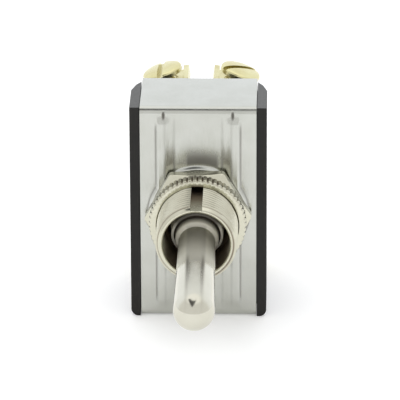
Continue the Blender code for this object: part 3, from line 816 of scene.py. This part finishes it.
def make_base():
    """The block between the frame's flaps, its strips and its rear, with the chambers cut out."""
    half = STRIP_INNER_X + SMALL_GAP
    top = HEIGHT - SHEET - GAP
    middle = box((-half, BASE_FRONT_Y, SHEET + GAP), (half, MIDDLE_BACK_Y, top))
    rear = box((-FRAME_HALF, REAR_START_Y, LIP + GAP), (FRAME_HALF, BASE_BACK_Y, HEIGHT - LIP - GAP))
    body = join(middle, make_strip(-1), make_strip(1), rear)
    low_z = AXIS_Z - CHAMBER_HALF_Z
    high_z = AXIS_Z + CHAMBER_HALF_Z
    ahead = BASE_FRONT_Y - OVERSHOOT
    inside = BARRIER_HALF_X + OVERSHOOT
    tools = [box((-inside, ahead, low_z), (inside, BARRIER_FRONT_Y, high_z))]
    for side in (-1, 1):
        near, far = sorted((side * BARRIER_HALF_X, side * CHAMBER_OUTER_X))
        tools.append(box((near, ahead, low_z), (far, FLOOR_Y, high_z)))
        for height in (-OUTER_HEIGHT, MIDDLE_STEM_HEIGHT, OUTER_HEIGHT):
            tools.append(stem_slot(side * POLE_X, AXIS_Z + height))
    piece("base", cut(body, *tools), "phenolic", "housing", bevel=BASE_EDGE)


def stem_slot(x, z):
    """A cutter for the slot that a terminal's stem passes through in the floor."""
    half_slot = TERMINAL_SHEET / 2 + SMALL_GAP
    half_width = STEM_WIDTH / 2 + SMALL_GAP
    low = (x - half_width, FLOOR_Y - OVERSHOOT, z - half_slot)
    high = (x + half_width, BASE_BACK_Y + OVERSHOOT, z + half_slot)
    return box(low, high)


# The bushing and its nuts.


def bushing_profile():
    """(radius, y, threaded) from the bore's back, round the front, to the flange."""
    flange_front = FLANGE_BACK_Y - FLANGE_THICK
    thread_start = FACE_Y + FACE_BREAK
    face_radius = THREAD_RADIUS - THREAD_CHAMFER
    profile = [
        (SOCKET_RADIUS, FLANGE_BACK_Y, False),
        (SOCKET_RADIUS, FACE_Y + BORE_DEPTH + BORE_RADIUS - SOCKET_RADIUS, False),
        (BORE_RADIUS, FACE_Y + BORE_DEPTH, False),
        (BORE_RADIUS, FACE_Y + BORE_DEPTH / 2, False),
    ]
    profile += [(BORE_RADIUS + out, FACE_Y + inward, False) for out, inward in BORE_MOUTH]
    profile.append((face_radius - 2 * FACE_BREAK, FACE_Y, False))
    profile.append((face_radius, thread_start, True))
    steps = int((flange_front - FACE_Y) / THREAD_PITCH * ROWS_PER_THREAD)
    for step in range(1, steps):
        y = thread_start + (flange_front - thread_start) * step / steps
        profile.append((THREAD_RADIUS, y, True))
    profile += [
        (THREAD_RADIUS - THREAD_DEPTH, flange_front, False),
        (FLANGE_RADIUS, flange_front, False),
        (FLANGE_RADIUS, FLANGE_BACK_Y, False),
    ]
    return profile


def bushing_columns():
    """(kind, value) round the bushing: plain columns by angle, keyway columns by x."""
    edge = atan2(KEYWAY_HALF, KEYWAY_FLOOR)
    span = 2 * pi - 2 * edge
    steps = BUSHING_COLUMNS
    columns = [("floor", KEYWAY_HALF * part / 3) for part in range(-3, 4)]
    columns.append(("wall", KEYWAY_HALF))
    columns += [("plain", edge + span * step / steps) for step in range(1, steps)]
    columns.append(("wall", -KEYWAY_HALF))
    return columns


def bushing_point(kind, value, radius):
    """(x, height) of a point on a column at a radius."""
    if kind == "plain":
        return radius * sin(value), radius * cos(value)
    angle = atan2(value, KEYWAY_FLOOR)
    if radius * cos(angle) <= KEYWAY_FLOOR:
        return radius * sin(angle), radius * cos(angle)
    if kind == "floor":
        return value, KEYWAY_FLOOR
    return value, sqrt(radius ** 2 - value ** 2)


def bore_shade(inward, up):
    """Painted shade in the bore: on its lower side, and further in all round."""
    low = LOW_BORE_SHADE * ease((-up - 0.5) / BORE_SHADE_FADE)
    deep = DEEP_BORE_SHADE * ease((inward - DEEP_BORE_START) / BORE_SHADE_FADE)
    return max(low, deep)


def make_bushing():
    """The threaded tube, its keyway and its flange, with painted shade in its thread, its keyway and
    its bore.
    """
    profile = bushing_profile()
    columns = bushing_columns()
    points = []
    darkness = []
    satin = []
    for radius, y, threaded in profile:
        inward = y - FACE_Y
        for kind, value in columns:
            angle = value if kind == "plain" else atan2(value, KEYWAY_FLOOR)
            out = radius
            darkening = 0.0
            if threaded:
                depth = thread_cut(angle, y, THREAD_PITCH, THREAD_DEPTH)
                out = min(THREAD_RADIUS - depth, THREAD_RADIUS - THREAD_CHAMFER + inward)
                # Painted shade in the thread's roots.
                darkening = THREAD_SHADE * ease(depth / THREAD_DEPTH * 1.6 - 0.6)
            x, up = bushing_point(kind, value, out)
            in_bore = out < BORE_RADIUS + 0.01
            if in_bore:
                # Painted shade in the bore.
                darkening = bore_shade(inward, up)
            elif kind == "floor" and out * cos(angle) > KEYWAY_FLOOR:
                # Painted shade, darker further into the keyway.
                darkening = KEYWAY_SHADE * ease(inward / 5.0)
            points.append((x, y, AXIS_Z + up))
            darkness.append(darkening)
            satin.append(BORE_SATIN if in_bore else 0.0)
    mesh = solid(points, ring_faces(len(profile), len(columns)))
    set_layer(mesh, darkness)
    set_layer(mesh, satin, "satin")
    merge_doubles(mesh)
    piece("bushing", mesh, "nickel_plate", "housing", smooth=40.0)


def hexagon(angle):
    """How far the hex nut's outline reaches at an angle, with its corners trimmed."""
    wedge = pi / 3
    off = (angle - radians(HEX_TURN) + wedge / 2) % wedge - wedge / 2
    return min(NUT_FLATS / 2 / cos(off), NUT_FLATS / 2 / cos(wedge / 2) - HEX_CORNER)


def hex_nut_section(angle):
    """(radius, y) round the hex nut's section, from the hole's back edge to the outer back edge."""
    front = HEX_LOW.y
    back = HEX_HIGH.y
    wide_hole = NUT_HOLE_RADIUS + HEX_HOLE_EDGE
    chamfer_radius = NUT_FLATS / 2 - HEX_CHAMFER_INSET
    out = hexagon(angle)
    near_out = out - HEX_BREAK

    def chamfered(radius):
        return front + max(0.0, radius - chamfer_radius) * HEX_CHAMFER_SLOPE

    return [
        (wide_hole, back),
        (NUT_HOLE_RADIUS, back - HEX_HOLE_EDGE),
        (NUT_HOLE_RADIUS, front + HEX_HOLE_EDGE),
        (wide_hole, front),
        (min(chamfer_radius, out), front),
        (near_out, chamfered(near_out)),
        (out, chamfered(out) + HEX_BREAK),
        (out, back - HEX_BREAK),
        (near_out, back),
    ]


def make_hex_nut():
    angles = [2 * pi * step / HEX_COLUMNS for step in range(HEX_COLUMNS)]
    sections = [hex_nut_section(angle) for angle in angles]
    rows = list(zip(*sections))
    points = []
    for row in rows:
        for angle, (radius, y) in zip(angles, row):
            points.append((radius * sin(angle), y, AXIS_Z + radius * cos(angle)))
    mesh = solid(points, ring_faces(len(rows), HEX_COLUMNS))
    set_layer(mesh, [0.0] * len(points))
    piece("hex_nut", mesh, "nickel_plate", "housing", smooth=28.0)


def face_nut_profile():
    """(radius, y, share of the knurls' depth) round the knurled nut's section."""
    front = FACE_NUT_LOW.y
    back = FACE_NUT_HIGH.y
    radius = FACE_NUT_RADIUS
    chamfer = KNURL_CHAMFER
    return [
        (NUT_HOLE_RADIUS + NUT_HOLE_EDGE, back, 0.0),
        (NUT_HOLE_RADIUS, back - NUT_HOLE_EDGE, 0.0),
        (NUT_HOLE_RADIUS, front + NUT_HOLE_EDGE, 0.0),
        (NUT_HOLE_RADIUS + NUT_HOLE_EDGE, front, 0.0),
        (radius - chamfer - 0.12, front, 0.0),
        (radius - chamfer, front + 0.03, 0.25),
        (radius - chamfer * 0.5, front + chamfer * 0.35, 0.6),
        (radius, front + chamfer, 1.0),
        (radius, (front + back) / 2, 1.0),
        (radius, back - chamfer, 1.0),
        (radius - chamfer, back, 0.4),
    ]


def make_face_nut():
    """The round nut, knurled with straight grooves, with painted shade in them that is darkest at
    the top.
    """
    segments = KNURLS * COLUMNS_PER_KNURL
    profile = face_nut_profile()
    points = []
    darkness = []
    for out, y, share in profile:
        for step in range(segments):
            angle = 2 * pi * step / segments
            groove = 1.0 - abs(sin(pi * step / COLUMNS_PER_KNURL))
            at = out - KNURL_DEPTH * share * groove ** 1.4
            points.append((at * sin(angle), y, AXIS_Z + at * cos(angle)))
            # Painted shade in the grooves, strongest at the top of the nut.
            upper = 0.3 * ease(cos(angle) + 0.4) + 0.7 * ease((cos(angle) - 0.8) / 0.15)
            darkness.append(share * upper * (0.25 + 0.75 * ease(groove * 1.5 - 0.35)))
    mesh = solid(points, ring_faces(len(profile), segments))
    set_layer(mesh, darkness)
    piece("knurled_nut", mesh, "nickel_plate", "housing", smooth=40.0)


# The lever.


def lever_profile():
    """(radius, y) from the arm's end to the bat's tip. The pivot is at y = 0."""
    profile = [
        (0.0, ARM_END),
        (ARM_RADIUS - ARM_EDGE, ARM_END),
        (ARM_RADIUS, ARM_END - ARM_EDGE),
    ]
    first = atan2(ARM_RADIUS, sqrt(BALL_RADIUS ** 2 - ARM_RADIUS ** 2))
    last = pi - atan2(NECK_RADIUS, sqrt(BALL_RADIUS ** 2 - NECK_RADIUS ** 2))
    steps = 24
    for step in range(steps + 1):
        angle = first + (last - first) * step / steps
        profile.append((BALL_RADIUS * sin(angle), BALL_RADIUS * cos(angle)))
    profile += [
        (NECK_RADIUS, -NECK_END + NECK_EDGE),
        (NECK_RADIUS - NECK_EDGE, -NECK_END),
        (GROOVE_RADIUS + COLLAR_EDGE, -NECK_END),
        (GROOVE_RADIUS, -NECK_END),
        (COLLAR_RADIUS, -NECK_END),
        (COLLAR_RADIUS, -COLLAR_END),
        (COLLAR_RADIUS - COLLAR_EDGE, -COLLAR_END - 0.08),
        (BAT_BASE_RADIUS + COLLAR_EDGE, -BAT_START + COLLAR_EDGE),
    ]
    dome_start = BAT_LENGTH - BAT_TIP_RADIUS
    steps = 32
    for step in range(steps + 1):
        part = step / steps
        radius = BAT_BASE_RADIUS + (BAT_TIP_RADIUS - BAT_BASE_RADIUS) * part
        profile.append((radius, -BAT_START - (dome_start - BAT_START) * part))
    steps = 24
    for step in range(1, steps):
        angle = pi / 2 * step / steps
        profile.append((BAT_TIP_RADIUS * cos(angle), -dome_start - BAT_TIP_RADIUS * sin(angle)))
    profile.append((0.0, -BAT_LENGTH))
    return profile


def lever_shade(point):
    """Painted shade in the groove round the collar, a painted dark reflection of the bore on the
    upper side of the ball, neck and collar, and a painted dark reflection band fading out along the
    bat's top.
    """
    across, along, up = point / MM
    forward = -along
    # Painted shade in the collar's groove.
    if hypot(across, up) < GROOVE_RADIUS + 0.01 and NECK_END - 0.01 < forward < COLLAR_END - 0.1:
        return 1.0
    # A painted dark reflection of the bore on the upper side of the ball, neck and collar.
    if forward < COLLAR_END - 0.1:
        return NECK_SHADE * ease((up - 1.0) / 1.5)
    if up < 0.0 or forward < BAT_START - 0.1:
        return 0.0
    # A painted dark reflection band, with two darker lines, along the bat's top.
    fade = min(max((BAND_END - forward) / BAND_FADE, 0.0), 1.0)
    line = ease(1.0 - abs(abs(across) - BAND_LINE_X) / BAND_LINE_HALF)
    line *= BAND_LINE * ease((forward - BAND_LINE_START) / BAND_LINE_FADE)
    return BAND_SHADE * fade * (line + ease((BAND_HALF - abs(across)) / BAND_EDGE))


def lever_satin_and_sheen(point):
    """How dull the plating is: most at the neck and the collar, least towards the tip. Over 1, from
    the arm to the collar, it also paints a pale sheen into the colour.
    """
    forward = -point.y / MM
    if forward < BAT_START - 0.04:
        # Over 1: a painted pale sheen from the arm to the collar, on top of the dull plating.
        return NECK_SATIN_AND_SHEEN
    return ease((SATIN_END - forward) / SATIN_FADE)


def make_lever():
    """The arm, the ball with the pin's hole, the collar and the bat, turned in one."""
    long = 2 * BALL_RADIUS
    outline = [(0.0, -long), (PIN_HOLE_RADIUS, -long), (PIN_HOLE_RADIUS, long), (0.0, long)]
    pin_hole = turned(outline, 32)
    pin_hole.transform(Matrix.Rotation(pi / 2, 4, "Z"))
    mesh = cut(turned(lever_profile(), LEVER_SEGMENTS), pin_hole)
    set_layer(mesh, [lever_shade(vert.co) for vert in mesh.vertices])
    set_layer(mesh, [lever_satin_and_sheen(vert.co) for vert in mesh.vertices], "satin")
    lean = Matrix.Rotation(radians(REST_TILT), 4, "X")
    mesh.transform(Matrix.Translation(PIVOT * MM) @ lean)
    piece("lever", mesh, "nickel_bat", "lever", smooth=32.0)


# The screws.


def screw_mesh(lift):
    """A screw along Y, its head lift off a tab at the origin, and its head's highest y."""
    under = -TERMINAL_SHEET / 2 - lift
    top = under - SCREW_HEAD
    dome = SCREW_HEAD * SCREW_DOME
    profile = [(0.0, top)]
    steps = 14
    for step in range(1, steps + 1):
        angle = pi / 2 * step / steps
        radius = (SCREW_HEAD_RADIUS - SCREW_EDGE) * sin(angle) ** 0.9
        profile.append((radius, top + dome * (1.0 - cos(angle))))
    profile += [
        (SCREW_HEAD_RADIUS, top + dome + 0.06),
        (SCREW_HEAD_RADIUS, under - SCREW_HEAD_EDGE),
        (SCREW_HEAD_RADIUS - SCREW_HEAD_EDGE, under),
        (SCREW_RADIUS, under),
    ]
    steps = int(SCREW_LENGTH / SCREW_PITCH * ROWS_PER_SCREW_THREAD)
    for step in range(1, steps):
        profile.append((SCREW_RADIUS, under + 0.1 + (SCREW_LENGTH - 0.5) * step / steps))
    end = under + SCREW_LENGTH
    profile += [(SCREW_RADIUS - SCREW_TIP, end), (0.0, end)]

    def threaded(angle, radius, y):
        if abs(radius - SCREW_RADIUS) > TINY or y <= under:
            return radius
        return radius - thread_cut(angle, y, SCREW_PITCH, SCREW_THREAD)

    return turned(profile, SCREW_SEGMENTS, threaded), top


def screw_turn(side, level):
    """The turn that takes a screw along Y to its place: head up, down or back."""
    if level == 0:
        return Matrix.Rotation(pi, 4, "X")
    lean = Matrix.Rotation(radians(side * level * SCREW_TILT), 4, "Y")
    return lean @ Matrix.Rotation(level * -pi / 2, 4, "X")


def slotted_screw(lift, turn):
    """A screw with its slot cut at a turn, in degrees, and dirt from the slot's floor inwards."""
    mesh, top = screw_mesh(lift)
    long = SCREW_HEAD_RADIUS + OVERSHOOT
    slot = box((-SLOT_HALF, top - OVERSHOOT, -long), (SLOT_HALF, top + SLOT_DEPTH, long))
    slot.transform(Matrix.Rotation(radians(turn), 4, "Y"))
    mesh = cut(mesh, slot)
    floor = top + SLOT_DEPTH - 0.1
    set_layer(mesh, [SLOT_DIRT * ease((vert.co.y / MM - floor) / 0.1) for vert in mesh.vertices])
    return mesh


def make_screws():
    names = {1: "upper", 0: "middle", -1: "lower"}
    for side_name, side in (("left", -1), ("right", 1)):
        for level, name in names.items():
            lift = SMALL_GAP if level == 0 else SCREW_LIFT
            mesh = slotted_screw(lift, SLOT_TURNS[side_name, level])
            mesh.transform(screw_turn(side, level))
            spot = Vector((side * (POLE_X + SCREW_OUT), SCREW_Y, AXIS_Z + level * OUTER_HEIGHT))
            if level == 0:
                spot = Vector((side * POLE_X, MIDDLE_TAB_Y, AXIS_Z))
            mesh.transform(Matrix.Translation(spot * MM))
            label = f"screw_{name}_{side_name}"
            piece(label, mesh, "screw_brass", "housing", smooth=30.0, bevel=SCREW_EDGE)


# The pieces that keep their CAD shape.


def dress(name, slot_name, bevel=0.0):
    """Give a carried CAD node its surface, and break its sharp edges."""
    item = frame["nodes"][name]
    item.data.materials.clear()
    item.data.materials.append(surfaces[slot_name])
    if bevel > 0.0:
        weld = item.modifiers.new("weld", "WELD")
        weld.merge_threshold = TINY
        round_edges(item, bevel)


def dress_kept_nodes():
    for side in ("left", "right"):
        for level in ("upper", "middle", "lower"):
            dress(f"terminal_{level}_{side}", "terminal_brass", 0.1)
        for level in ("upper", "lower"):
            dress(f"fixed_contact_{level}_{side}", "silver", 0.05)
            dress(f"moving_contact_{level}_{side}", "silver", 0.05)
        dress(f"rocker_{side}", "contact_brass", 0.08)
        dress(f"plunger_{side}", "contact_brass")
        dress(f"plunger_spring_{side}", "spring_steel")
    dress("insulating_liner", "fibre", 0.05)
    dress("lever_pin", "pin_steel", 0.08)
    dress("yoke", "nylon", 0.08)


# The studio.

FLOOR_HALF = 3000.0
FLOOR_DROP = 0.02
FLOOR_GLOW = 0.2
FRONT_LIGHT = (1.0, 1.0, 1.0)
BACK_LIGHT = (1.22, 1.25, 1.3)
TOP_LIGHT = (1.4, 1.4, 1.4)
TOP_START = 0.76
TOP_FULL = 0.9
GAP_LIGHT = (0.12, 0.12, 0.12)
GAP_ACROSS = -0.15
GAP_LOW = 0.62
GAP_HIGH = 0.965
GAP_SOFT = 0.07
GAP_TOP_SOFT = 0.02
KEY_PLACE = (-180.0, -60.0, 520.0)
KEY_SIZE = 420.0
KEY_POWER = 0.5

# The camera: its angles, its distance from the plate's middle, and what it is aimed at.
CAMERA_AZIMUTH = 1.585
CAMERA_ELEVATION = 22.488
CAMERA_ROLL = 0.253
CAMERA_DISTANCE = 562.46
CAMERA_LENS = 345.05
AIM_RIGHT = 0.25
AIM_UP = 1.91


def make_floor():
    """A wide sheet of pale paper that glows a little."""
    half = FLOOR_HALF
    corners = [(-half, -half), (half, -half), (half, half), (-half, half)]
    mesh = solid([(x, y, -FLOOR_DROP) for x, y in corners], [(0, 1, 2, 3)], "floor")
    made, tree, shader = shader_of("floor_paper")
    colour = blended(tree, noise(tree, FLOOR_CLOUDS), (0.9, 0.9, 0.895), (0.88, 0.88, 0.88))
    tree.links.new(colour, shader.inputs["Base Color"])
    shader.inputs["Roughness"].default_value = 0.9
    shader.inputs["Specular IOR Level"].default_value = 0.1
    shader.inputs["Emission Color"].default_value = (1.0, 1.0, 1.0, 1.0)
    shader.inputs["Emission Strength"].default_value = FLOOR_GLOW
    mesh.materials.append(made)
    floor = bpy.data.objects.new("floor", mesh)
    bpy.context.scene.collection.objects.link(floor)


def make_world():
    """A white room, brighter behind and above, with a dark wedge high up in front."""
    world = bpy.data.worlds.new("studio")
    bpy.context.scene.world = world
    world.use_nodes = True
    tree = world.node_tree
    source = node(tree, "ShaderNodeTexCoord").outputs["Generated"]
    across, out, up = node(tree, "ShaderNodeSeparateXYZ", {"Vector": source}).outputs
    room = blended(tree, ranged(tree, out, 0.0, 1.0, -0.1, 0.3), FRONT_LIGHT, BACK_LIGHT)
    room = blended(tree, ranged(tree, up, 0.0, 1.0, TOP_START, TOP_FULL), room, TOP_LIGHT)
    off = calculated(tree, "ABSOLUTE", calculated(tree, "SUBTRACT", across, GAP_ACROSS))
    inside = calculated(tree, "SUBTRACT", calculated(tree, "SUBTRACT", up, GAP_LOW), off)
    gap = ranged(tree, inside, 0.0, 1.0, -GAP_SOFT, GAP_SOFT)
    below = ranged(tree, up, 1.0, 0.0, GAP_HIGH - GAP_TOP_SOFT, GAP_HIGH + GAP_TOP_SOFT)
    ahead = ranged(tree, out, 1.0, 0.0, -0.05, 0.05)
    gap = calculated(tree, "MULTIPLY", calculated(tree, "MULTIPLY", gap, below), ahead)
    light = blended(tree, gap, room, GAP_LIGHT)
    tree.links.new(light, tree.nodes["Background"].inputs["Color"])


def make_key_light():
    """A wide soft light above, a little to the left, aimed at the middle of the switch."""
    data = bpy.data.lights.new("key", "AREA")
    data.shape = "RECTANGLE"
    data.size = KEY_SIZE * MM
    data.size_y = KEY_SIZE * MM
    data.energy = KEY_POWER
    made = bpy.data.objects.new("key", data)
    made.visible_glossy = False
    made.location = Vector(KEY_PLACE) * MM
    aim = Vector((0.0, 0.0, AXIS_Z)) * MM - made.location
    made.rotation_euler = aim.to_track_quat("-Z", "Y").to_euler()
    bpy.context.scene.collection.objects.link(made)


def make_camera():
    """A long lens in front and above, as in the photograph."""
    azimuth = radians(CAMERA_AZIMUTH)
    elevation = radians(CAMERA_ELEVATION)
    roll = radians(CAMERA_ROLL)
    back = Vector((sin(azimuth) * cos(elevation), -cos(azimuth) * cos(elevation), sin(elevation)))
    right = Vector((cos(azimuth), sin(azimuth), 0.0))
    up = back.cross(right)
    anchor = Vector((0.0, FRONT_Y, AXIS_Z))
    target = anchor + right * AIM_RIGHT + up * AIM_UP
    place = anchor + back * CAMERA_DISTANCE
    back = (place - target).normalized()
    right = up.cross(back).normalized()
    up = back.cross(right)
    across = right * cos(roll) - up * sin(roll)
    upward = right * sin(roll) + up * cos(roll)
    data = bpy.data.cameras.new("camera")
    data.sensor_width = 36.0
    data.lens = CAMERA_LENS
    data.clip_start = 0.05
    data.clip_end = 20.0
    made = bpy.data.objects.new("camera", data)
    turn = Matrix((across, upward, back)).transposed().to_4x4()
    made.matrix_world = Matrix.Translation(place * MM) @ turn
    bpy.context.scene.collection.objects.link(made)
    bpy.context.scene.camera = made
    bpy.context.scene.view_settings.view_transform = "Standard"


surfaces = make_surfaces()
make_frame()
make_base()
make_bushing()
make_hex_nut()
make_face_nut()
make_lever()
make_screws()
dress_kept_nodes()
make_floor()
make_world()
make_key_light()
make_camera()
